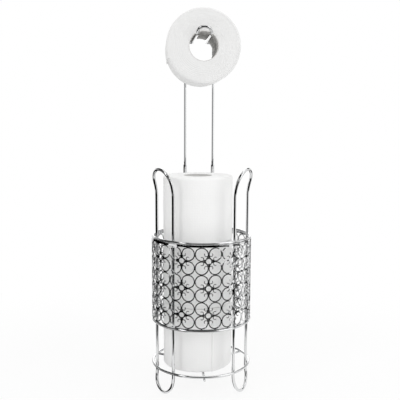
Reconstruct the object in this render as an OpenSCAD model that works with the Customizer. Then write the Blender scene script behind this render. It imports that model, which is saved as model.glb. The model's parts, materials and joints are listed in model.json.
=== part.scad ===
// Free-standing wire holder for toilet rolls.
// Three bent wire legs carry a base ring and an openwork band, which hold a stack of spare rolls.
// A wire hanger plugs into two sleeves at the back and carries the roll in use on its arm.
// The front faces -Y. The origin is on the floor, on the axis of the basket.

/* [Wire] */
// Diameter of the leg wire
leg_wire = 4.6; // [4:0.1:6]
// Diameter of the wire of the three rings
ring_wire = 4; // [3:0.1:5]
// Diameter of the base spokes
spoke_wire = 3.4; // [2.5:0.1:4.5]
// Diameter of the hanger wire
hanger_wire_d = 4.2; // [3.6:0.1:5]
// Gap left at a welded touch
weld_gap = 0.05; // [0.02:0.01:0.1]

/* [Basket] */
// Outer diameter of the basket rings
basket_d = 158; // [150:1:190]
// Height of the base ring above the floor
base_ring_z = 39.3; // [36:0.1:60]
// Height of the lower rim of the band
lower_rim_z = 111; // [80:1:140]
// Height of the ring that closes the band at the top
upper_rim_z = 244.5; // [225:0.5:300]
// How far the base spokes reach past the base ring
spoke_overhang = 2; // [1:0.5:6]

/* [Leg loops] */
// Width of a leg loop between its wire centres
loop_w = 46; // [36:1:56]
// Angle of the two front legs from the front
front_leg_angle = 58; // [50:1:66]
// Height of the front legs
ear_top_z = 354.4; // [320:0.1:400]
// Lean of the ears from upright
ear_lean = 17.5; // [10:0.5:35]
// Bend radius where the ears lean out
ear_bend_r = 70; // [20:1:80]
// Lean of the feet from upright
foot_lean = 10; // [5:1:20]
// Bend radius where the feet lean out
foot_bend_r = 50; // [20:1:60]

/* [Lattice] */
// Columns of rings round the band, an even number
lattice_cols = 24; // [20:2:28]
// Rows of rings up the band, an even number
lattice_rows = 6; // [4:2:8]
// Thickness of the lattice
lattice_t = 1.6; // [1.2:0.1:2.4]
// Width of the line of a large ring
ring_line = 1.4; // [1.2:0.1:2]
// Outer diameter of a small ring
rosette_d = 10.4; // [9:0.1:11]
// Width of the line of a small ring and its spokes
rosette_line = 1.4; // [1:0.1:1.8]
// Diameter of a scroll at its centre line
scroll_d = 5.6; // [4.8:0.1:6]
// Width of the line of a scroll
scroll_line = 1; // [0.8:0.1:1.4]
// Height of the strip along the top of the lattice
border_h = 3.3; // [1:0.1:4]
// Height of the strip along the bottom of the lattice
lower_border_h = 1.3; // [0.8:0.1:2]
// Turn of the first rosette column from the front
lattice_turn = 4; // [0:1:30]

/* [Hanger] */
// Height of the arm
arm_z = 550.4; // [500:0.1:620]
// Width of the arm between its wire centres
arm_w = 21; // [16:0.5:26]
// How far the arm runs on in front of the roll
arm_overrun = 4; // [2:0.5:12]
// Lean of the arm's tip from level
tip_rise = 45; // [30:1:80]
// Bend radius where the tip turns up
tip_bend_r = 8; // [6:0.5:12]
// Height of the sleeves above the upper rim
sleeve_lift = 46.5; // [5:0.5:100]
// Length of a sleeve
sleeve_l = 60; // [40:1:80]
// Wall of a sleeve round the leg wire
sleeve_wall = 0.65; // [0.4:0.05:1.5]
// Depth that the hanger plugs into its sleeves
plug_depth = 30; // [20:1:40]
// Gap round the hanger wire in its sleeve
plug_gap = 0.06; // [0.03:0.01:0.1]

/* [Rolls] */
// Diameter of a stored roll
roll_d = 110; // [95:1:120]
// Diameter of the hanging roll
hung_roll_d = 112.5; // [80:0.5:120]
// Length of a roll
roll_l = 100.5; // [84:0.5:104]
// Inner diameter of the cardboard core
core_bore = 43; // [41:0.5:46]
// Wall of the cardboard core
core_wall = 1; // [0.6:0.1:1.5]
// Rounding of the paper's edges
paper_round = 2; // [0.5:0.1:4]
// Gap between a roll and what it rests on
rest_gap = 0.3; // [0.2:0.05:0.5]
// Gap between the hanging roll and the pole behind it
pole_gap = 3; // [2:0.5:10]
// Sideways place of the stack in the basket
stack_x = -6; // [-6:1:6]

/* [Hidden] */
$fn = 64;

chrome = [0.78, 0.79, 0.81];
paper_white = [0.96, 0.96, 0.95];
cardboard = [0.66, 0.63, 0.58];

// Lengths of one bent wire stop a hair short of each other inside a seam band
seam_gap = 0.03;
seam_l = 0.4;
seam_step = 0.04;

// The rings' centre line, and the wires of the legs that touch the rings from inside
ring_r = (basket_d - ring_wire) / 2;
leg_wire_r = ring_r - ring_wire / 2 - leg_wire / 2 - weld_gap;
loop_plane_r = sqrt(pow(leg_wire_r, 2) - pow(loop_w / 2, 2));
ear_rise = ear_bend_r * sin(ear_lean) + loop_w / 2 * cos(ear_lean);
ear_bend_z = ear_top_z - leg_wire / 2 - ear_rise;
foot_drop = foot_bend_r * sin(foot_lean) + loop_w / 2 * cos(foot_lean);
foot_bend_z = leg_wire / 2 + foot_drop;

// Base spokes lie under the base ring and meet at its middle
spoke_z = base_ring_z - ring_wire / 2 - spoke_wire / 2 - weld_gap;
spoke_outer_r = ring_r + ring_wire / 2 + spoke_overhang;
spoke_inner_r = spoke_wire / 2 / tan(60) + weld_gap;

// The lattice is a ring of flats between the two rims, folded along its ring joints
fold_angle = 360 / lattice_cols;
fold_r = ring_r + 1;
flat_w = 2 * fold_r * sin(fold_angle / 2);
flat_r = fold_r * cos(fold_angle / 2);
lattice_bottom_z = lower_rim_z + ring_wire / 2 + weld_gap;
lattice_top_z = upper_rim_z - ring_wire / 2 - weld_gap;
stub_h = 2;
row_h = (lattice_top_z - lattice_bottom_z - stub_h - border_h) / lattice_rows;
ring_outer_r = min(flat_w, row_h) / 2 + 0.1;
joint_dot_r = 1.2;
link_bite = 1;
link_h = row_h - 2 * ring_outer_r + 2 * link_bite;
link_w = flat_w - 2 * ring_outer_r + 2 * link_bite;
fold_overlap = lattice_t / 2 * tan(fold_angle / 2) + 0.02;
panel_trim = lattice_t / 2 * tan(fold_angle / 2) + weld_gap / 2;
scroll_in = 3.4;
scroll_drop = 0.2;

// Hanger: the pole stands on the rear leg's plane, its shoulders draw in to the arm
pole_w = loop_w;
pole_y = loop_plane_r;
shoulder_r = (pole_w - arm_w) / 4;
shoulder_share = 0.8;
sleeve_bore = leg_wire + 2 * weld_gap;
sleeve_d = sleeve_bore + 2 * sleeve_wall;
sleeve_bottom_z = upper_rim_z + sleeve_lift;
sleeve_top_z = sleeve_bottom_z + sleeve_l;
plug_z = sleeve_top_z - plug_depth;
rear_top_z = plug_z - weld_gap;

// The hanging roll rests on the two arm wires inside its core
core_touch_r = core_bore / 2 - hanger_wire_d / 2 - rest_gap;
hung_axis_z = arm_z - sqrt(pow(core_touch_r, 2) - pow(arm_w / 2, 2));
hung_back_y = pole_y - max(hanger_wire_d / 2 + pole_gap, shoulder_share * shoulder_r);
hung_front_y = hung_back_y - roll_l;
arm_front_y = hung_front_y - arm_overrun;

// The stored rolls stand on the spokes, one on the other
stack_z = spoke_z + spoke_wire / 2 + rest_gap;
roll_step = roll_l + rest_gap;
core_od = core_bore + 2 * core_wall;
paper_bore = core_od + 0.1;

// A straight wire from z = 0 up
module wire(d, h) {
    translate([0, 0, seam_gap])
        cylinder(d = d, h = h - 2 * seam_gap);
}

// A band round a wire at z = 0, a hair wider, that joins two lengths of one bent wire
module seam(d) {
    translate([0, 0, -seam_l / 2])
        cylinder(d = d + seam_step, h = seam_l);
}

// A bent wire of centre radius r that starts at +X and turns towards +Y, with its seams
module bend(d, r, turn, seams = [0, 1]) {
    trim = seam_gap / r * 180 / PI;
    rotate([0, 0, trim])
        rotate_extrude(angle = turn - 2 * trim)
            translate([r, 0])
                circle(d = d);
    for (end = seams)
        rotate([0, 0, end * turn])
            translate([r, 0, 0])
                rotate([90, 0, 0])
                    seam(d);
}

// Two upright wires that lean out towards -Y and close in a half circle, from z = 0 up
module leaning_u(d, w, bend_r, lean) {
    for (side = [-1, 1])
        translate([side * w / 2, -bend_r, 0])
            rotate([90, 0, 90])
                bend(d, bend_r, lean, [0]);
    translate([0, -bend_r * (1 - cos(lean)), bend_r * sin(lean)])
        rotate([lean, 0, 0])
            rotate([90, 0, 0])
                bend(d, w / 2, 180);
}

module foot() {
    translate([0, 0, foot_bend_z])
        mirror([0, 0, 1])
            leaning_u(leg_wire, loop_w, foot_bend_r, foot_lean);
}

module uprights(z0, z1) {
    for (side = [-1, 1])
        translate([side * loop_w / 2, 0, z0])
            wire(leg_wire, z1 - z0);
}

// A front leg: one closed wire with a foot below and an ear above
module front_loop(angle) {
    color(chrome)
        rotate([0, 0, angle])
            translate([0, -loop_plane_r, 0]) {
                foot();
                uprights(foot_bend_z, ear_bend_z);
                translate([0, 0, ear_bend_z])
                    leaning_u(leg_wire, loop_w, ear_bend_r, ear_lean);
            }
}

// The rear leg: a foot and two uprights that end inside the sleeves
module rear_loop() {
    color(chrome)
        rotate([0, 0, 180])
            translate([0, -loop_plane_r, 0]) {
                foot();
                uprights(foot_bend_z, rear_top_z);
            }
}

module wire_ring(z) {
    color(chrome)
        translate([0, 0, z])
            rotate_extrude()
                translate([ring_r, 0])
                    circle(d = ring_wire);
}

module base_spoke(angle) {
    color(chrome)
        rotate([0, 0, angle])
            translate([0, -spoke_inner_r, spoke_z])
                rotate([90, 0, 0])
                    wire(spoke_wire, spoke_outer_r - spoke_inner_r);
}

// A flat ring of outer radius r
module flat_ring(r, line) {
    difference() {
        circle(r = r);
        circle(r = r - line);
    }
}

// A half circle line, open towards +Y
module scroll() {
    intersection() {
        flat_ring(scroll_d / 2 + scroll_line / 2, scroll_line);
        translate([-scroll_d, -scroll_d])
            square([2 * scroll_d, scroll_d]);
    }
}

// One large ring, with the dot and the links that join it to its neighbours
module lattice_ring() {
    flat_ring(ring_outer_r, ring_line);
    translate([0, row_h / 2]) {
        circle(r = joint_dot_r);
        square([ring_line, link_h], center = true);
    }
    for (side = [-1, 1])
        translate([side * flat_w / 2, 0])
            square([link_w, ring_line], center = true);
}

// The rosette on the fold at +X between two rows: small ring, spokes and scrolls
module rosette_half() {
    translate([flat_w / 2, 0]) {
        flat_ring(rosette_d / 2, rosette_line);
        for (side = [-1, 1])
            translate([-rosette_line / 2, side > 0 ? rosette_d / 2 - rosette_line / 2 : -row_h / 2])
                square([rosette_line, row_h / 2 - rosette_d / 2 + rosette_line / 2]);
    }
    translate([0, -rosette_line / 2])
        square([flat_w / 2 - rosette_d / 2 + rosette_line / 2, rosette_line]);
    for (up = [0, 1])
        mirror([0, up]) {
            translate([flat_w / 2 - scroll_in, row_h / 2 - scroll_drop])
                scroll();
            translate([scroll_drop, scroll_in])
                rotate(90)
                    scroll();
        }
}

// One flat of the lattice, with its rosettes on the fold at +X
module flat_pattern() {
    intersection() {
        union() {
            for (row = [0 : lattice_rows - 1])
                translate([0, stub_h + (row + 0.5) * row_h])
                    lattice_ring();
            for (pair = [1 : 2 : lattice_rows - 1])
                translate([0, stub_h + pair * row_h])
                    rosette_half();
            translate([-ring_line / 2, 0])
                square([ring_line, stub_h + link_h / 2]);
            translate([-flat_w, 0])
                square([2 * flat_w, lower_border_h]);
            translate([-flat_w, stub_h + lattice_rows * row_h])
                square([2 * flat_w, border_h]);
        }
        translate([-flat_w / 2 + panel_trim, 0])
            square([flat_w + fold_overlap - panel_trim, lattice_top_z - lattice_bottom_z]);
    }
}

module lattice_flat() {
    translate([0, -flat_r + lattice_t / 2, lattice_bottom_z])
        rotate([90, 0, 0])
            linear_extrude(lattice_t)
                flat_pattern();
}

// Two flats that share the rosettes on the fold between them
module lattice_panel() {
    rotate([0, 0, -fold_angle / 2])
        lattice_flat();
    rotate([0, 0, fold_angle / 2])
        mirror([1, 0, 0])
            lattice_flat();
}

module lattice_band() {
    color(chrome)
        for (i = [0 : lattice_cols / 2 - 1])
            rotate([0, 0, lattice_turn + 2 * i * fold_angle])
                lattice_panel();
}

// A tube with a wide bore for the leg wire below and a close bore for the hanger above
module sleeve(side) {
    color(chrome)
        translate([side * pole_w / 2, pole_y, 0])
            difference() {
                translate([0, 0, sleeve_bottom_z])
                    cylinder(d = sleeve_d, h = sleeve_l);
                translate([0, 0, sleeve_bottom_z - 1])
                    cylinder(d = sleeve_bore, h = plug_z - sleeve_bottom_z + 1);
                translate([0, 0, plug_z - 1])
                    cylinder(d = hanger_wire_d + 2 * plug_gap, h = plug_depth + 2);
            }
}

// One side of the hanger, from the plug up the pole, over the shoulder and along the arm
module hanger_side() {
    translate([pole_w / 2, pole_y, plug_z])
        wire(hanger_wire_d, arm_z - shoulder_r - plug_z);
    translate([pole_w / 2 - shoulder_r, pole_y, arm_z - shoulder_r])
        rotate([90, 0, 0])
            bend(hanger_wire_d, shoulder_r, 90);
    translate([arm_w / 2 + shoulder_r, pole_y - shoulder_r, arm_z])
        rotate([0, 0, 90])
            bend(hanger_wire_d, shoulder_r, 90, [1]);
    translate([arm_w / 2, pole_y - shoulder_r, arm_z])
        rotate([90, 0, 0])
            wire(hanger_wire_d, pole_y - shoulder_r - arm_front_y);
    translate([arm_w / 2, arm_front_y, arm_z + tip_bend_r])
        rotate([0, 90, 180])
            bend(hanger_wire_d, tip_bend_r, tip_rise, [0]);
}

module hanger_wire() {
    color(chrome) {
        hanger_side();
        mirror([1, 0, 0])
            hanger_side();
        translate([0, arm_front_y - tip_bend_r * sin(tip_rise), arm_z + tip_bend_r * (1 - cos(tip_rise))])
            rotate([180 - tip_rise, 0, 0])
                bend(hanger_wire_d, arm_w / 2, 180);
    }
}

// The wound paper of a roll of diameter d, standing on z = 0, with rounded edges
module paper(d) {
    color(paper_white)
        rotate_extrude()
            union() {
                translate([paper_bore / 2, 0])
                    square([d / 2 - paper_round - paper_bore / 2, roll_l]);
                translate([d / 2 - 2 * paper_round, paper_round])
                    square([2 * paper_round, roll_l - 2 * paper_round]);
                for (z = [paper_round, roll_l - paper_round])
                    translate([d / 2 - paper_round, z])
                        circle(r = paper_round);
            }
}

// The cardboard core of a roll, standing on z = 0
module core() {
    color(cardboard)
        difference() {
            cylinder(d = core_od, h = roll_l);
            translate([0, 0, -1])
                cylinder(d = core_bore, h = roll_l + 2);
        }
}

module stored(i) {
    translate([stack_x, 0, stack_z + i * roll_step])
        children();
}

module hung() {
    translate([0, hung_back_y, hung_axis_z])
        rotate([90, 0, 0])
            children();
}

front_loop(-front_leg_angle);  // front_left_loop
front_loop(front_leg_angle);  // front_right_loop
rear_loop();
wire_ring(base_ring_z);  // base_ring
base_spoke(0);  // base_spoke_front
base_spoke(-120);  // base_spoke_left
base_spoke(120);  // base_spoke_right
wire_ring(lower_rim_z);  // lower_rim
wire_ring(upper_rim_z);  // upper_rim
lattice_band();
sleeve(-1);  // sleeve_left
sleeve(1);  // sleeve_right
hanger_wire();
hung() paper(hung_roll_d);  // hung_paper
hung() core();  // hung_core
stored(0) paper(roll_d);  // stored_paper_bottom
stored(1) paper(roll_d);  // stored_paper_middle
stored(2) paper(roll_d);  // stored_paper_top
stored(0) core();  // stored_core_bottom
stored(1) core();  // stored_core_middle
stored(2) core();  // stored_core_top
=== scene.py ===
"""Looks of a free-standing chrome wire holder for toilet rolls.

The named lengths of the object and the camera's place are millimetres, and turn into metres where they
are used. The camera's clip distances, the floor, the flags and the lamps are in metres. The front faces
-Y, the floor is z = 0 and the basket's axis is the Z axis.
"""
import json
import math

import bpy
import numpy as np
from mathutils import Matrix, Vector

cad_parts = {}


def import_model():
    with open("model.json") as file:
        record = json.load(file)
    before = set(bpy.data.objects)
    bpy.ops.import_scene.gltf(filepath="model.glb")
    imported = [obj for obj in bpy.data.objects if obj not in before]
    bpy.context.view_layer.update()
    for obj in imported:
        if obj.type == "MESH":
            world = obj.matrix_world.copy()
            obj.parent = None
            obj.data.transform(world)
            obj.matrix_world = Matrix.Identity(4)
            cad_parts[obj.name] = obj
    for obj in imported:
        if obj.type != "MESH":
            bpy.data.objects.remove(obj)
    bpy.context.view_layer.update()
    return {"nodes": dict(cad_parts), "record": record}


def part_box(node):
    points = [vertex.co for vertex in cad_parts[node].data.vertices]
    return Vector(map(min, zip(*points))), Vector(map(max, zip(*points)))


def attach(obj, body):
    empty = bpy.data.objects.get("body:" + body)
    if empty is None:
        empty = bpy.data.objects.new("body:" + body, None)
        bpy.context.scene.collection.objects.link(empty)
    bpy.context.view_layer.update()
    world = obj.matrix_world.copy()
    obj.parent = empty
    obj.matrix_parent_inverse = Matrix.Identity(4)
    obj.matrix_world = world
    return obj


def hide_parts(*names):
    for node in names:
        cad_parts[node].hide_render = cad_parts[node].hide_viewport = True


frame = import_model()

MM = 0.001


def node_box(node):
    """A node's lowest and highest corner, in millimetres."""
    low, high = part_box(node)
    return np.array(low) / MM, np.array(high) / MM


# Camera, fitted to the photograph
LENS_MM = 58.97
SENSOR_MM = 36.0
CAMERA_AWAY = 1025.9
CAMERA_UP = 429.5
CAMERA_PITCH = math.radians(7.327)
CAMERA_YAW = math.radians(4.0)
CAMERA_ROLL = math.radians(0.241)
SHIFT_X = -0.0040
SHIFT_Y = 0.0041
CLIP_NEAR = 0.01
CLIP_FAR = 50

# Openwork band
BAND_COLUMNS = 24
BAND_ROWS = 6
BAND_FIRST_ROSETTE = math.radians(4.0)
BAND_THICK = 1.5
RING_LINE = 1.75
ROSETTE_D = 10.6
ROSETTE_LINE = 1.5
SCROLL_R = 2.75
SCROLL_IN = 3.45
SCROLL_DROP = 0.2
SCROLL_CURL = 25
SCROLL_LINE = 1.2
BORDER_H = 3.3
LOWER_BORDER_H = 1.3
RING_PAST_CELL = 0.25
SPOKE_SINK = 0.2
SPOKE_SHORT = 0.8
STUB_H = 2.0
STUB_FOOT = 0.6
STUB_SINK = 0.4
JOINT_DOT_R = 1.25
SIDE_DOT_SHARE = 0.9
DOT_PROUD = 0.05
CHAMFER = 0.16
SHARP_ANGLE = math.radians(25)

# Tilt of the band's faces: the most of it, its wave length and the seeds of its two directions
UNEVEN = 0.14
UNEVEN_LENGTH = 4
UNEVEN_SIDE_SEED = 1.3
UNEVEN_UP_SEED = 4.1

# Points along the band's bars, few enough to keep its mesh under 200,000 triangles
RING_POINTS = 34
SMALL_RING_POINTS = 18
SCROLL_POINTS = 10
SPOKE_POINTS = 3
STUB_POINTS = 2
BORDER_POINTS = 120
DOT_SIDES = 10
CAP_STEPS = 2

# Welds; a bead's half sizes go outwards, sideways and upwards
LOOP_W = 46.0
LEG_WIRE = 4.6
SPOKE_WIRE = 3.4
LOOP_TURNS = np.radians([-58, 58, 180])
SPOKE_TURNS = np.radians([0, 120, -120])
RING_BEAD = (0.9, 1.7, 1.7)
SPOKE_BEAD = (1.6, 1.5, 0.8)
HUB_BEAD = (2.1, 2.1, 1.7)
BEAD_RINGS = 7
BEAD_SIDES = 12

# Rolls: rounding, the loose edge and where it lies
PAPER_ROUND = 3.0
BORE_GAP = 0.05
TAIL_STEP = 0.7
TAIL_LIFT = 1.5
TAIL_FROM = 0.965
TAIL_SPAN = 0.035
TAIL_SHARP = math.radians(35)
NEAR_TAIL = np.radians([-11, -9, -7, -5, -4, -3, -2, -1.2, -0.4, -0.05, 0.05, 0.4, 1.2])
HUNG_TAIL = math.radians(200)
BOTTOM_TAIL = math.radians(-69)
MIDDLE_TAIL = math.radians(140)
TOP_TAIL = math.radians(60)

# Rolls: the wound ends and the slightly uneven side, each roll with its own seed
HUNG_SEED = 0.7
BOTTOM_SEED = 1.9
MIDDLE_SEED = 3.2
TOP_SEED = 4.6
SPIRAL_PITCH = 2.6
GROOVE = 0.16
END_SWELL = 0.22
END_WAVE = 9
END_SINK = 0.2
BORE_FADE = 3
RIM_FADE = 4
SIDE_SWELL = 0.2
SIDE_WAVE = 17
SIDE_SINK = 0.25

# Rolls: rows and corners of the mesh
ROLL_SIDES = 180
END_STEPS = 56
SIDE_STEPS = 30
ROUND_STEPS = 7

# Colours and reliefs of the materials
CHROME_COLOR = (0.74, 0.745, 0.75)
CHROME_ROUGH_LOW = 0.02
CHROME_ROUGH_HIGH = 0.05
PAPER_LOW = (0.90, 0.90, 0.895)
PAPER_HIGH = (0.93, 0.93, 0.925)
# The hung roll's paper is the stored rolls' paper made darker: painted shade that holds down the
# stronger light falling on the hung roll
HUNG_PAPER_PAINTED_SHADE_LOW = (0.80, 0.80, 0.795)
HUNG_PAPER_PAINTED_SHADE_HIGH = (0.83, 0.83, 0.825)
HUNG_RELIEF = 0.35
EMBOSS = 0.25
CREPE = 0.35
CARD_LOW = (0.66, 0.655, 0.64)
CARD_HIGH = (0.78, 0.775, 0.76)

# Set, in metres
FLOOR_SIZE = 12
FLOOR_WHITE = 0.9
FLOOR_FADE_START = 0.25
FLOOR_FADE_END = 0.7
FLOOR_GLOW = 0.86
WORLD_LIGHT = 0.72
OVER_FLOOR = 0.002
WALL = 2.4
FLAG_STEPS = 24

# Name, first and last turn in degrees from the front, near and far reach, low and high edge, shade
FLAGS = (
    ("far_floor_flag", -135, 36, 1.45, WALL, OVER_FLOOR, OVER_FLOOR, 0.0),
    ("front_floor_flag", -60, 36, 0.25, 1.45, OVER_FLOOR, OVER_FLOOR, 0.0),
    ("left_floor_flag", -150, -82, 0.30, 1.45, OVER_FLOOR, OVER_FLOOR, 0.0),
    ("between_floor_flag", -82, -60, 0.42, 1.0, OVER_FLOOR, OVER_FLOOR, 0.0),
    ("right_floor_flag", 36, 60, 0.34, 1.3, OVER_FLOOR, OVER_FLOOR, 0.0),
    ("side_floor_flag", 70, 92, 0.34, 1.3, OVER_FLOOR, OVER_FLOOR, 0.0),
    ("rear_right_floor_flag", 110, 130, 0.34, 1.3, OVER_FLOOR, OVER_FLOOR, 0.0),
    ("rear_floor_flag", 144, 198, 0.34, 1.3, OVER_FLOOR, OVER_FLOOR, 0.0),
    ("foot_flag", -150, -35, 0.085, 0.17, OVER_FLOOR, OVER_FLOOR, 0.0),
    # A near-black disc on the floor under the basket, seen only in reflections: painted shade of the
    # floor beneath the basket
    ("under_basket_shade_flag", -180, 180, 0.0, 0.066, OVER_FLOOR, OVER_FLOOR, 0.03),
    ("low_wall_flag", -135, 36, WALL, WALL, OVER_FLOOR, 0.2, 0.0),
    ("middle_wall_flag", -110, 80, WALL, WALL, 0.2, 0.75, 0.36),
    ("right_wall_flag", 36, 85, WALL, WALL, 0.75, 2.0, 0.0),
    ("high_wall_flag", -150, 36, WALL, WALL, 0.75, 2.0, 0.02),
    ("ceiling_flag", -165, 50, WALL, 0.9, 2.0, 3.6, 0.0),
    ("behind_flag", 112, 172, WALL, WALL, 0.9, 2.6, 0.05),
)

# Name, place, aim, width, height and watts
LAMPS = (
    ("left_lamp", (-1.1, -0.9, 1.1), (0, 0, 0.3), 0.4, 0.8, 3.8),
    ("right_lamp", (1.3, -0.9, 0.9), (0, 0, 0.3), 1.2, 1.4, 7.4),
    ("top_lamp", (0, -0.2, 1.9), (0, 0, 0.2), 1.4, 1.4, 4.0),
    ("back_lamp", (0.3, 1.7, 1.1), (0, 0, 0.3), 1.2, 1.2, 4.6),
)


def link(obj):
    bpy.context.scene.collection.objects.link(obj)
    return obj


def mesh_object(name, verts, faces, material):
    """A smooth-shaded mesh object from millimetre corners."""
    data = bpy.data.meshes.new(name)
    data.from_pydata((np.asarray(verts) * MM).tolist(), [], faces)
    data.validate()
    data.update()
    data.polygons.foreach_set("use_smooth", [True] * len(data.polygons))
    data.materials.append(material)
    return link(bpy.data.objects.new(name, data))


class Mesh:
    """Corners and faces gathered from many small shapes."""

    def __init__(self):
        self.verts = []
        self.faces = []
        self.count = 0

    def add(self, verts, faces):
        self.verts.append(np.asarray(verts, dtype=float))
        self.faces.extend(tuple(int(i) + self.count for i in face) for face in faces)
        self.count += len(verts)

    def make(self, name, material):
        return mesh_object(name, np.concatenate(self.verts), self.faces, material)


def unit(v):
    return v / np.maximum(np.linalg.norm(v, axis=-1, keepdims=True), 1e-12)


def bar_section(half_w, half_t, chamfer):
    """The corners of a rectangle with chamfered edges, anticlockwise."""
    w, t = half_w, half_t
    u, v = half_w - chamfer, half_t - chamfer
    corners = ((w, -v), (w, v), (u, t), (-u, t), (-w, v), (-w, -v), (-u, -t), (u, -t))
    return np.array(corners).T


def sweep(centres, normals, half_w, half_t, chamfer, closed):
    """A flat bar along the centres: half_w across, half_t along the normals, with rounded ends."""
    centres = np.asarray(centres, dtype=float)
    normals = unit(np.asarray(normals, dtype=float))
    if closed:
        tangents = unit(np.roll(centres, -1, 0) - np.roll(centres, 1, 0))
    else:
        tangents = unit(np.gradient(centres, axis=0))
    scale = np.ones(len(centres))
    if not closed:
        turns = [math.pi / 2 * (k + 1) / (CAP_STEPS + 1) for k in range(CAP_STEPS)]
        out = [math.sin(t) * half_w for t in turns]
        lead = [centres[0] - tangents[0] * o for o in out][::-1]
        trail = [centres[-1] + tangents[-1] * o for o in out]
        shrink = [math.cos(t) for t in turns]
        centres = np.concatenate([lead, centres, trail])
        normals = np.concatenate([[normals[0]] * CAP_STEPS, normals, [normals[-1]] * CAP_STEPS])
        tangents = np.concatenate([[tangents[0]] * CAP_STEPS, tangents, [tangents[-1]] * CAP_STEPS])
        scale = np.concatenate([shrink[::-1], scale, shrink])
    across = unit(np.cross(normals, tangents))
    sx, sy = bar_section(half_w, half_t, chamfer)
    sides = len(sx)
    verts = (
        centres[:, None, :]
        + across[:, None, :] * sx[None, :, None] * scale[:, None, None]
        + normals[:, None, :] * sy[None, :, None]
    ).reshape(-1, 3)
    n = len(centres)
    faces = []
    for i in range(n if closed else n - 1):
        a, b = i * sides, (i + 1) % n * sides
        for j in range(sides):
            k = (j + 1) % sides
            faces.append((a + j, a + k, b + k, b + j))
    if not closed:
        faces.append(tuple(range(sides))[::-1])
        faces.append(tuple((n - 1) * sides + j for j in range(sides)))
    return verts, faces


def node_tree(material):
    material.use_nodes = True
    return material.node_tree.nodes, material.node_tree.links


def noise(nodes, links, place, scale, detail):
    """A noise texture in the piece's own coordinates."""
    texture = nodes.new("ShaderNodeTexNoise")
    texture.inputs["Scale"].default_value = scale
    texture.inputs["Detail"].default_value = detail
    links.new(place.outputs["Object"], texture.inputs["Vector"])
    return texture


def relief(nodes, links, height, strength, distance):
    """A bump node that reads its height from an output socket."""
    bump = nodes.new("ShaderNodeBump")
    bump.inputs["Strength"].default_value = strength
    bump.inputs["Distance"].default_value = distance
    links.new(height, bump.inputs["Height"])
    return bump


def chrome(name):
    """Polished plating with faint ripples and a slightly uneven gloss."""
    material = bpy.data.materials.new(name)
    nodes, links = node_tree(material)
    shader = nodes["Principled BSDF"]
    shader.inputs["Metallic"].default_value = 1.0
    shader.inputs["Base Color"].default_value = (*CHROME_COLOR, 1)
    place = nodes.new("ShaderNodeTexCoord")
    cloud = noise(nodes, links, place, scale=160, detail=4)
    gloss = nodes.new("ShaderNodeMapRange")
    gloss.inputs["From Min"].default_value = 0.35
    gloss.inputs["From Max"].default_value = 0.7
    gloss.inputs["To Min"].default_value = CHROME_ROUGH_LOW
    gloss.inputs["To Max"].default_value = CHROME_ROUGH_HIGH
    links.new(cloud.outputs["Fac"], gloss.inputs["Value"])
    links.new(gloss.outputs["Result"], shader.inputs["Roughness"])
    ripple = noise(nodes, links, place, scale=420, detail=2)
    bump = relief(nodes, links, ripple.outputs["Fac"], strength=0.05, distance=0.0002)
    links.new(bump.outputs["Normal"], shader.inputs["Normal"])
    return material


def tissue(name, base_low, base_high, depth=1.0):
    """Soft white paper: fibres, a fine crepe and an embossed dot pattern, both bumps times depth."""
    material = bpy.data.materials.new(name)
    nodes, links = node_tree(material)
    shader = nodes["Principled BSDF"]
    shader.inputs["Roughness"].default_value = 0.95
    shader.inputs["Specular IOR Level"].default_value = 0.1
    shader.inputs["Sheen Weight"].default_value = 0.15
    shader.inputs["Sheen Roughness"].default_value = 0.6
    place = nodes.new("ShaderNodeTexCoord")
    fibre = noise(nodes, links, place, scale=900, detail=6)
    cloud = noise(nodes, links, place, scale=35, detail=3)
    tint = nodes.new("ShaderNodeMix")
    tint.data_type = "RGBA"
    tint.inputs["A"].default_value = (*base_low, 1)
    tint.inputs["B"].default_value = (*base_high, 1)
    links.new(cloud.outputs["Fac"], tint.inputs["Factor"])
    links.new(tint.outputs["Result"], shader.inputs["Base Color"])
    dots = nodes.new("ShaderNodeTexVoronoi")
    dots.inputs["Scale"].default_value = 260
    dots.inputs["Randomness"].default_value = 0.35
    links.new(place.outputs["Object"], dots.inputs["Vector"])
    emboss = relief(nodes, links, dots.outputs["Distance"], strength=EMBOSS * depth, distance=0.0004)
    crepe = relief(nodes, links, fibre.outputs["Fac"], strength=CREPE * depth, distance=0.0003)
    links.new(emboss.outputs["Normal"], crepe.inputs["Normal"])
    links.new(crepe.outputs["Normal"], shader.inputs["Normal"])
    return material


def card(name):
    """Pale grey board with fine speckles."""
    material = bpy.data.materials.new(name)
    nodes, links = node_tree(material)
    shader = nodes["Principled BSDF"]
    shader.inputs["Roughness"].default_value = 0.85
    shader.inputs["Specular IOR Level"].default_value = 0.2
    place = nodes.new("ShaderNodeTexCoord")
    speckle = noise(nodes, links, place, scale=700, detail=8)
    tint = nodes.new("ShaderNodeValToRGB")
    tint.color_ramp.elements[0].position = 0.35
    tint.color_ramp.elements[0].color = (*CARD_LOW, 1)
    tint.color_ramp.elements[1].position = 0.65
    tint.color_ramp.elements[1].color = (*CARD_HIGH, 1)
    links.new(speckle.outputs["Fac"], tint.inputs["Fac"])
    links.new(tint.outputs["Color"], shader.inputs["Base Color"])
    bump = relief(nodes, links, speckle.outputs["Fac"], strength=0.4, distance=0.0002)
    links.new(bump.outputs["Normal"], shader.inputs["Normal"])
    return material


def seen_paths(nodes, links):
    """1 for rays from the camera, from gloss and through glass, else 0."""
    path = nodes.new("ShaderNodeLightPath")
    first = nodes.new("ShaderNodeMath")
    first.operation = "MAXIMUM"
    links.new(path.outputs["Is Camera Ray"], first.inputs[0])
    links.new(path.outputs["Is Glossy Ray"], first.inputs[1])
    both = nodes.new("ShaderNodeMath")
    both.operation = "MAXIMUM"
    links.new(first.outputs[0], both.inputs[0])
    links.new(path.outputs["Is Transmission Ray"], both.inputs[1])
    return both.outputs[0]


# Openwork band

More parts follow.
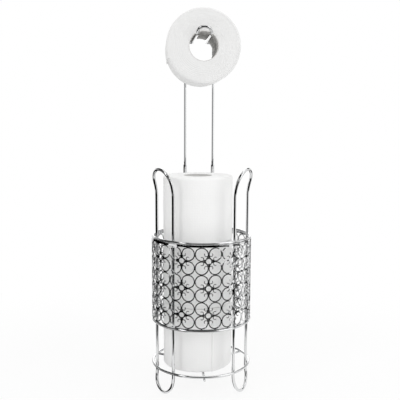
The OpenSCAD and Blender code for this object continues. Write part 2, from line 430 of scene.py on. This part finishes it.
def band_sizes():
    """The band's middle radius, its cells' width and height, and its lower and upper edge."""
    low, high = node_box("lattice_band")
    radius = (high[0] - low[0] + high[1] - low[1]) / 4 - BAND_THICK / 2
    pitch = 2 * math.pi * radius / BAND_COLUMNS
    row_h = (high[2] - low[2] - STUB_H - BORDER_H) / BAND_ROWS
    return radius, pitch, row_h, low[2], high[2]


def on_band(path, radius):
    """Band coordinates, arc length and height, to places and outward normals."""
    path = np.asarray(path, dtype=float)
    turn = path[:, 0] / radius + BAND_FIRST_ROSETTE - math.pi / 2
    outward = np.stack([np.cos(turn), np.sin(turn), np.zeros(len(path))], axis=1)
    places = outward * radius
    places[:, 2] = path[:, 1]
    return places, outward


def arc(centre, rx, ry, start, end, count):
    angles = np.radians(np.linspace(start, end, count, endpoint=abs(end - start) < 360))
    return np.stack([centre[0] + rx * np.cos(angles), centre[1] + ry * np.sin(angles)], axis=1)


def line(start, end, count):
    return np.linspace(start, end, count)


def wobble(a, b, seed):
    """A smooth repeatable unevenness between about -1 and 1."""
    return (
        np.sin(1.7 * a + 2.3 * np.sin(0.9 * b + seed) + seed)
        + 0.6 * np.sin(3.1 * a - 1.9 * b + 2.1 * seed)
        + 0.4 * np.sin(5.3 * b + 4.2 * np.sin(0.7 * a + seed))
    ) / 2


def band_piece(mesh, path, radius, line_w, closed):
    """A bar along a path on the band, its face tilted a few degrees this way and that."""
    places, outward = on_band(path, radius)
    path = np.asarray(path, dtype=float)
    sideways = np.stack([-outward[:, 1], outward[:, 0], np.zeros(len(outward))], axis=1)
    along, up = path[:, 0] / UNEVEN_LENGTH, path[:, 1] / UNEVEN_LENGTH
    tilted = outward + sideways * UNEVEN * wobble(along, up, UNEVEN_SIDE_SEED)[:, None]
    tilted[:, 2] += UNEVEN * wobble(up, along, UNEVEN_UP_SEED)
    mesh.add(*sweep(places, tilted, line_w / 2, BAND_THICK / 2, CHAMFER, closed))


def dot(mesh, at, radius, size):
    """A flat round pad with a chamfered edge where two rings are joined."""
    places, outward = on_band([at], radius)
    out = outward[0]
    side = np.array([-out[1], out[0], 0.0])
    up = np.array([0.0, 0.0, 1.0])
    half = BAND_THICK / 2 + DOT_PROUD
    turns = np.linspace(0, 2 * math.pi, DOT_SIDES, endpoint=False)
    edge = (
        (size - CHAMFER, -half),
        (size, CHAMFER - half),
        (size, half - CHAMFER),
        (size - CHAMFER, half),
    )
    verts = []
    for spread, rise in edge:
        for a in turns:
            verts.append(places[0] + (side * math.cos(a) + up * math.sin(a)) * spread + out * rise)
    count = len(turns)
    faces = [tuple(range(count))[::-1], tuple(range(3 * count, 4 * count))]
    for k in range(3):
        for j in range(count):
            m = (j + 1) % count
            faces.append((k * count + j, k * count + m, (k + 1) * count + m, (k + 1) * count + j))
    mesh.add(verts, faces)


def mirrored(path, u, v, du, dv):
    """A path drawn in the upper right quarter of a rosette, put in one of its four quarters."""
    return np.stack([u + du * path[:, 0], v + dv * path[:, 1]], axis=1)


def rosette(mesh, u, v, pitch, row_h, radius):
    """Small ring, four spokes and eight scrolls between four large rings."""
    small = ROSETTE_D / 2 - ROSETTE_LINE / 2
    ring = arc((u, v), small, small, 0, 360, SMALL_RING_POINTS)
    band_piece(mesh, ring, radius, ROSETTE_LINE, True)
    outer = ROSETTE_D / 2 - SPOKE_SINK
    for du, dv in ((1, 0), (-1, 0), (0, 1), (0, -1)):
        reach = pitch / 2 if du else row_h / 2
        start = (u + du * outer, v + dv * outer)
        end = (u + du * (reach - SPOKE_SHORT), v + dv * (reach - SPOKE_SHORT))
        band_piece(mesh, line(start, end, SPOKE_POINTS), radius, ROSETTE_LINE, False)
    upper = (SCROLL_IN, row_h / 2 - SCROLL_DROP)
    outermost = (pitch / 2 - SCROLL_DROP, SCROLL_IN)
    hook = arc(upper, SCROLL_R, SCROLL_R, 180, 360 + SCROLL_CURL, SCROLL_POINTS)
    curl = arc(outermost, SCROLL_R, SCROLL_R, 270, 90 - SCROLL_CURL, SCROLL_POINTS)
    for du in (-1, 1):
        for dv in (-1, 1):
            band_piece(mesh, mirrored(hook, u, v, du, dv), radius, SCROLL_LINE, False)
            band_piece(mesh, mirrored(curl, u, v, du, dv), radius, SCROLL_LINE, False)


def border(mesh, height, width, radius):
    """A strip right round the band."""
    along = np.linspace(0, 2 * math.pi * radius, BORDER_POINTS, endpoint=False)
    path = np.stack([along, np.full(BORDER_POINTS, height)], axis=1)
    places, outward = on_band(path, radius)
    mesh.add(*sweep(places, outward, width / 2, BAND_THICK / 2, CHAMFER, True))


def openwork_band(material):
    """The whole band: rings, joint pads, stubs, rosettes and two strips, in place of the CAD's."""
    radius, pitch, row_h, low_z, high_z = band_sizes()
    mesh = Mesh()
    first_row = low_z + STUB_H
    half_u = pitch / 2 - RING_LINE / 2 + RING_PAST_CELL
    half_v = row_h / 2 - RING_LINE / 2 + RING_PAST_CELL
    for column in range(BAND_COLUMNS):
        u = (column + 0.5) * pitch
        for row in range(BAND_ROWS):
            v = first_row + (row + 0.5) * row_h
            ring = arc((u, v), half_u, half_v, 0, 360, RING_POINTS)
            band_piece(mesh, ring, radius, RING_LINE, True)
            dot(mesh, (u, v + row_h / 2), radius, JOINT_DOT_R)
            dot(mesh, (u + pitch / 2, v), radius, JOINT_DOT_R * SIDE_DOT_SHARE)
        stub = line((u, low_z + STUB_FOOT), (u, first_row + STUB_SINK), STUB_POINTS)
        band_piece(mesh, stub, radius, RING_LINE, False)
    for column in range(0, BAND_COLUMNS, 2):
        for row in range(1, BAND_ROWS, 2):
            rosette(mesh, column * pitch, first_row + row * row_h, pitch, row_h, radius)
    border(mesh, high_z - BORDER_H / 2, BORDER_H, radius)
    border(mesh, low_z + LOWER_BORDER_H / 2, LOWER_BORDER_H, radius)
    band = mesh.make("openwork_band", material)
    band.data.set_sharp_from_angle(angle=SHARP_ANGLE)
    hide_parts("lattice_band")
    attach(band, "stand")
    return band


# Welds

def bead(mesh, turn, reach, height, half_sizes):
    """A small smooth weld bead: an ellipsoid at a turn from the front, a reach and a height."""
    out = np.array([math.sin(turn), -math.cos(turn), 0.0])
    side = np.array([math.cos(turn), math.sin(turn), 0.0])
    up = np.array([0.0, 0.0, 1.0])
    centre = out * reach + up * height
    half_out, half_side, half_up = half_sizes
    verts = [centre + up * half_up, centre - up * half_up]
    for i in range(1, BEAD_RINGS):
        lift = math.cos(math.pi * i / BEAD_RINGS)
        spread = math.sin(math.pi * i / BEAD_RINGS)
        for j in range(BEAD_SIDES):
            a = 2 * math.pi * j / BEAD_SIDES
            level = out * half_out * math.cos(a) + side * half_side * math.sin(a)
            verts.append(centre + up * half_up * lift + spread * level)
    faces = []
    last = 2 + (BEAD_RINGS - 2) * BEAD_SIDES
    for j in range(BEAD_SIDES):
        k = (j + 1) % BEAD_SIDES
        faces.append((0, 2 + j, 2 + k))
        faces.append((1, last + k, last + j))
        for i in range(BEAD_RINGS - 2):
            a, b = 2 + i * BEAD_SIDES, 2 + (i + 1) * BEAD_SIDES
            faces.append((a + j, b + j, b + k, a + k))
    mesh.add(verts, faces)


def weld_beads(material):
    """Beads where legs touch the three rings, spokes the base ring and the spokes each other."""
    mesh = Mesh()
    for node in ("base_ring", "lower_rim", "upper_rim"):
        low, high = node_box(node)
        ring_wire = high[2] - low[2]
        touch = (high[0] - low[0]) / 2 - ring_wire
        height = (low[2] + high[2]) / 2
        leg_turn = math.asin(LOOP_W / 2 / (touch - LEG_WIRE / 2))
        for loop_turn in LOOP_TURNS:
            for side in (-1, 1):
                bead(mesh, loop_turn + side * leg_turn, touch, height, RING_BEAD)
    low, high = node_box("base_ring")
    ring_wire = high[2] - low[2]
    for spoke_turn in SPOKE_TURNS:
        bead(mesh, spoke_turn, (high[0] - low[0] - ring_wire) / 2, low[2], SPOKE_BEAD)
    bead(mesh, 0.0, 0.0, low[2] - SPOKE_WIRE / 2, HUB_BEAD)
    beads = mesh.make("weld_beads", material)
    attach(beads, "stand")
    return beads


# Rolls

def roll_profile(length, radius, bore_r):
    """Radius, height and kind of each row of corners: the low end, the side and the high end."""
    shoulder = radius - PAPER_ROUND
    profile = []
    for k in range(END_STEPS):
        profile.append((bore_r + (shoulder - bore_r) * k / END_STEPS, 0.0, "low"))
    for k in range(ROUND_STEPS):
        t = math.pi / 2 * k / ROUND_STEPS
        profile.append((shoulder + PAPER_ROUND * math.sin(t), PAPER_ROUND * (1 - math.cos(t)), "edge"))
    for k in range(SIDE_STEPS + 1):
        height = PAPER_ROUND + (length - 2 * PAPER_ROUND) * k / SIDE_STEPS
        profile.append((radius, height, "side"))
    for k in range(1, ROUND_STEPS + 1):
        t = math.pi / 2 * k / ROUND_STEPS
        height = length - PAPER_ROUND * (1 - math.sin(t))
        profile.append((shoulder + PAPER_ROUND * math.cos(t), height, "edge"))
    for k in range(1, END_STEPS + 1):
        profile.append((shoulder - (shoulder - bore_r) * k / END_STEPS, length, "high"))
    return profile


def roll_turns(tail_at, wind):
    """The turns of a row's corners, close together at the loose edge."""
    even = np.linspace(0, 2 * math.pi, ROLL_SIDES, endpoint=False)
    turns = np.concatenate([even, (tail_at + wind * NEAR_TAIL) % (2 * math.pi)])
    return np.unique(np.round(turns, 6))


def ramp(value, span):
    """From 0 to 1 over a span, and level outside it."""
    return min(1.0, max(0.0, value / span))


def roll_mesh(length, radius, bore_r, seed, tail_at, wind):
    """A wound roll along z from 0 to length, with a spiral on its ends and its loose edge."""
    turns = roll_turns(tail_at, wind)
    around = len(turns)
    since_tail = (wind * (turns - tail_at) / (2 * math.pi)) % 1.0
    lifted = np.clip((since_tail - TAIL_FROM) / TAIL_SPAN, 0, 1) ** 2
    layer = TAIL_STEP * since_tail + TAIL_LIFT * lifted
    profile = roll_profile(length, radius, bore_r)
    verts = []
    for r, z, kind in profile:
        spiral = (r / SPIRAL_PITCH + turns / (2 * math.pi)) % 1.0
        groove = GROOVE * (np.abs(2 * spiral - 1) - 0.5)
        fade = ramp(r - bore_r, BORE_FADE) * ramp(radius - r, RIM_FADE)
        swell = END_SWELL * wobble(r / END_WAVE, 3 * np.sin(turns + seed), seed)
        rr = np.full(around, r)
        zz = np.full(around, z)
        if kind in ("side", "edge"):
            dent = SIDE_SWELL * wobble(z / SIDE_WAVE, 2 * np.sin(turns + 2 * seed), seed)
            rr = r - TAIL_STEP + layer - SIDE_SINK + dent
        if kind == "low":
            zz = z + fade * (groove + swell) + END_SINK
        if kind == "high":
            zz = z - END_SINK - fade * (groove + swell)
        verts.append(np.stack([rr * np.cos(turns), rr * np.sin(turns), zz], axis=1))
    rows = len(profile)
    verts = np.concatenate(verts)
    faces = []
    for i in range(rows):
        a, b = i * around, (i + 1) % rows * around
        for j in range(around):
            k = (j + 1) % around
            faces.append((a + j, a + k, b + k, b + j))
    return verts, faces


def paper_roll(name, node, body, material, seed, tail_at, wind=1, lying=False):
    """A roll's paper in place of the CAD's; wind is 1 or -1, and a lying roll's axis is along y."""
    low, high = node_box(node)
    centre = (low + high) / 2
    if lying:
        length, radius = high[1] - low[1], (high[2] - low[2]) / 2
    else:
        length, radius = high[2] - low[2], (high[0] - low[0]) / 2
    core_low, core_high = node_box(node.replace("paper", "core"))
    bore_r = (core_high[0] - core_low[0]) / 2 + BORE_GAP
    verts, faces = roll_mesh(length, radius, bore_r, seed, tail_at, wind)
    verts[:, 2] -= length / 2
    if lying:
        verts = np.stack([verts[:, 0], -verts[:, 2], verts[:, 1]], axis=1)
    verts += centre
    roll = mesh_object(name, verts, faces, material)
    roll.data.set_sharp_from_angle(angle=TAIL_SHARP)
    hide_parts(node)
    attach(roll, body)
    return roll


# Materials of the CAD nodes

def finish_nodes(slots):
    """Give each CAD node the material of its slot."""
    for entry in frame["record"]["subparts"]:
        obj = frame["nodes"][entry["node"]]
        material = slots[entry["material_slot"]]
        if not obj.material_slots:
            obj.data.materials.append(material)
        for place in obj.material_slots:
            place.material = material


# Set

def plane(name, size_x, size_y, at, facing, material):
    """A rectangle centred at a place, its normal towards facing."""
    data = bpy.data.meshes.new(name)
    x, y = size_x / 2, size_y / 2
    data.from_pydata([(-x, -y, 0), (x, -y, 0), (x, y, 0), (-x, y, 0)], [], [(0, 1, 2, 3)])
    data.materials.append(material)
    obj = link(bpy.data.objects.new(name, data))
    obj.rotation_euler = Vector(facing).to_track_quat("Z", "Y").to_euler()
    obj.location = at
    return obj


def floor_material():
    """White under the object with its shadow, fading to the white of the background."""
    material = bpy.data.materials.new("floor_pale")
    nodes, links = node_tree(material)
    shader = nodes["Principled BSDF"]
    shader.inputs["Base Color"].default_value = (FLOOR_WHITE, FLOOR_WHITE, FLOOR_WHITE, 1)
    shader.inputs["Roughness"].default_value = 0.9
    glow = nodes.new("ShaderNodeEmission")
    glow.inputs["Strength"].default_value = 1.0
    place = nodes.new("ShaderNodeTexCoord")
    away = nodes.new("ShaderNodeVectorMath")
    away.operation = "LENGTH"
    links.new(place.outputs["Object"], away.inputs[0])
    fade = nodes.new("ShaderNodeMapRange")
    fade.interpolation_type = "SMOOTHSTEP"
    fade.inputs["From Min"].default_value = FLOOR_FADE_START
    fade.inputs["From Max"].default_value = FLOOR_FADE_END
    fade.inputs["To Min"].default_value = FLOOR_GLOW
    fade.inputs["To Max"].default_value = 1.0
    links.new(away.outputs["Value"], fade.inputs["Value"])
    share = nodes.new("ShaderNodeMath")
    share.operation = "MULTIPLY"
    links.new(seen_paths(nodes, links), share.inputs[0])
    links.new(fade.outputs["Result"], share.inputs[1])
    mix = nodes.new("ShaderNodeMixShader")
    links.new(share.outputs[0], mix.inputs["Fac"])
    links.new(shader.outputs["BSDF"], mix.inputs[1])
    links.new(glow.outputs["Emission"], mix.inputs[2])
    links.new(mix.outputs["Shader"], nodes["Material Output"].inputs["Surface"])
    return material


def flag_material(name, shade):
    """Matt black that glows evenly by its shade."""
    material = bpy.data.materials.new(name)
    nodes, _ = node_tree(material)
    shader = nodes["Principled BSDF"]
    shader.inputs["Base Color"].default_value = (0, 0, 0, 1)
    shader.inputs["Roughness"].default_value = 1.0
    shader.inputs["Specular IOR Level"].default_value = 0.0
    shader.inputs["Emission Color"].default_value = (1, 1, 1, 1)
    shader.inputs["Emission Strength"].default_value = shade
    return material


def gloss_only(obj):
    """Hide an object from everything but reflections."""
    obj.visible_camera = False
    obj.visible_diffuse = False
    obj.visible_shadow = False
    obj.visible_transmission = False
    obj.visible_volume_scatter = False


def world():
    """White where it is seen, a little dimmer as a light."""
    scene_world = bpy.data.worlds.new("soft_white")
    scene_world.use_nodes = True
    bpy.context.scene.world = scene_world
    nodes, links = scene_world.node_tree.nodes, scene_world.node_tree.links
    nodes.clear()
    out = nodes.new("ShaderNodeOutputWorld")
    lit = nodes.new("ShaderNodeBackground")
    lit.inputs["Color"].default_value = (1, 1, 1, 1)
    lit.inputs["Strength"].default_value = WORLD_LIGHT
    seen = nodes.new("ShaderNodeBackground")
    seen.inputs["Color"].default_value = (1, 1, 1, 1)
    seen.inputs["Strength"].default_value = 1.0
    mix = nodes.new("ShaderNodeMixShader")
    links.new(seen_paths(nodes, links), mix.inputs["Fac"])
    links.new(lit.outputs["Background"], mix.inputs[1])
    links.new(seen.outputs["Background"], mix.inputs[2])
    links.new(mix.outputs["Shader"], out.inputs["Surface"])


def lamp(name, at, towards, size_x, size_y, watts):
    """A rectangular lamp at a place, aimed at another."""
    data = bpy.data.lights.new(name, "AREA")
    data.shape = "RECTANGLE"
    data.size, data.size_y = size_x, size_y
    data.energy = watts
    obj = link(bpy.data.objects.new(name, data))
    obj.location = at
    obj.rotation_euler = (Vector(towards) - Vector(at)).to_track_quat("-Z", "Y").to_euler()
    return obj


def camera():
    """The camera that was fitted to the photograph."""
    data = bpy.data.cameras.new("camera")
    data.lens = LENS_MM
    data.sensor_width = SENSOR_MM
    data.sensor_fit = "HORIZONTAL"
    data.shift_x, data.shift_y = SHIFT_X, SHIFT_Y
    data.clip_start, data.clip_end = CLIP_NEAR, CLIP_FAR
    obj = link(bpy.data.objects.new("camera", data))
    away = Vector((-math.sin(CAMERA_YAW), -math.cos(CAMERA_YAW), 0))
    forward = -away * math.cos(CAMERA_PITCH) - Vector((0, 0, math.sin(CAMERA_PITCH)))
    right = Vector((math.cos(CAMERA_YAW), -math.sin(CAMERA_YAW), 0))
    up = right.cross(forward)
    tilted_up = up * math.cos(CAMERA_ROLL) - right * math.sin(CAMERA_ROLL)
    tilted_right = right * math.cos(CAMERA_ROLL) + up * math.sin(CAMERA_ROLL)
    turn = Matrix((tilted_right, tilted_up, -forward)).transposed().to_4x4()
    place = (away * CAMERA_AWAY + Vector((0, 0, CAMERA_UP))) * MM
    obj.matrix_world = Matrix.Translation(place) @ turn
    bpy.context.scene.camera = obj
    return obj


def flag(name, turn_from, turn_to, near, far, low, high, shade):
    """A flag seen only in gloss: a sector of a cone from (near, low) to (far, high)."""
    data = bpy.data.meshes.new(name)
    verts = []
    for k in range(FLAG_STEPS + 1):
        turn = math.radians(turn_from + (turn_to - turn_from) * k / FLAG_STEPS)
        for reach, up in ((near, low), (far, high)):
            verts.append((reach * math.sin(turn), -reach * math.cos(turn), up))
    faces = [(2 * k, 2 * k + 2, 2 * k + 3, 2 * k + 1) for k in range(FLAG_STEPS)]
    data.from_pydata(verts, [], faces)
    data.materials.append(flag_material(name, shade))
    obj = link(bpy.data.objects.new(name, data))
    gloss_only(obj)
    return obj


def studio():
    """Floor, flags, lamps and surroundings."""
    plane("floor", FLOOR_SIZE, FLOOR_SIZE, (0, 0, 0), (0, 0, 1), floor_material())
    for row in FLAGS:
        flag(*row)
    for row in LAMPS:
        lamp(*row)
    world()


view = bpy.context.scene.view_settings
view.view_transform = "Standard"

camera()
studio()

wire_chrome = chrome("chrome_wire")
lattice_chrome = chrome("chrome_lattice")
paper = tissue("tissue", PAPER_LOW, PAPER_HIGH)
# A darker copy of the same paper for the hung roll: painted shade against the stronger light on it
hung_paper = tissue("tissue_of_hung_roll_painted_shade", HUNG_PAPER_PAINTED_SHADE_LOW, HUNG_PAPER_PAINTED_SHADE_HIGH, HUNG_RELIEF)
board = card("core_board")
finish_nodes({
    "chrome_wire": wire_chrome,
    "chrome_lattice": lattice_chrome,
    "paper": paper,
    "cardboard": board,
})

openwork_band(lattice_chrome)
weld_beads(wire_chrome)
paper_roll(
    "hung_roll_paper", "hung_paper", "hung_roll", hung_paper, HUNG_SEED, HUNG_TAIL, lying=True
)
paper_roll(
    "bottom_roll_paper", "stored_paper_bottom", "bottom_roll", paper, BOTTOM_SEED, BOTTOM_TAIL, wind=-1
)
paper_roll(
    "middle_roll_paper", "stored_paper_middle", "middle_roll", paper, MIDDLE_SEED, MIDDLE_TAIL
)
paper_roll("top_roll_paper", "stored_paper_top", "top_roll", paper, TOP_SEED, TOP_TAIL)
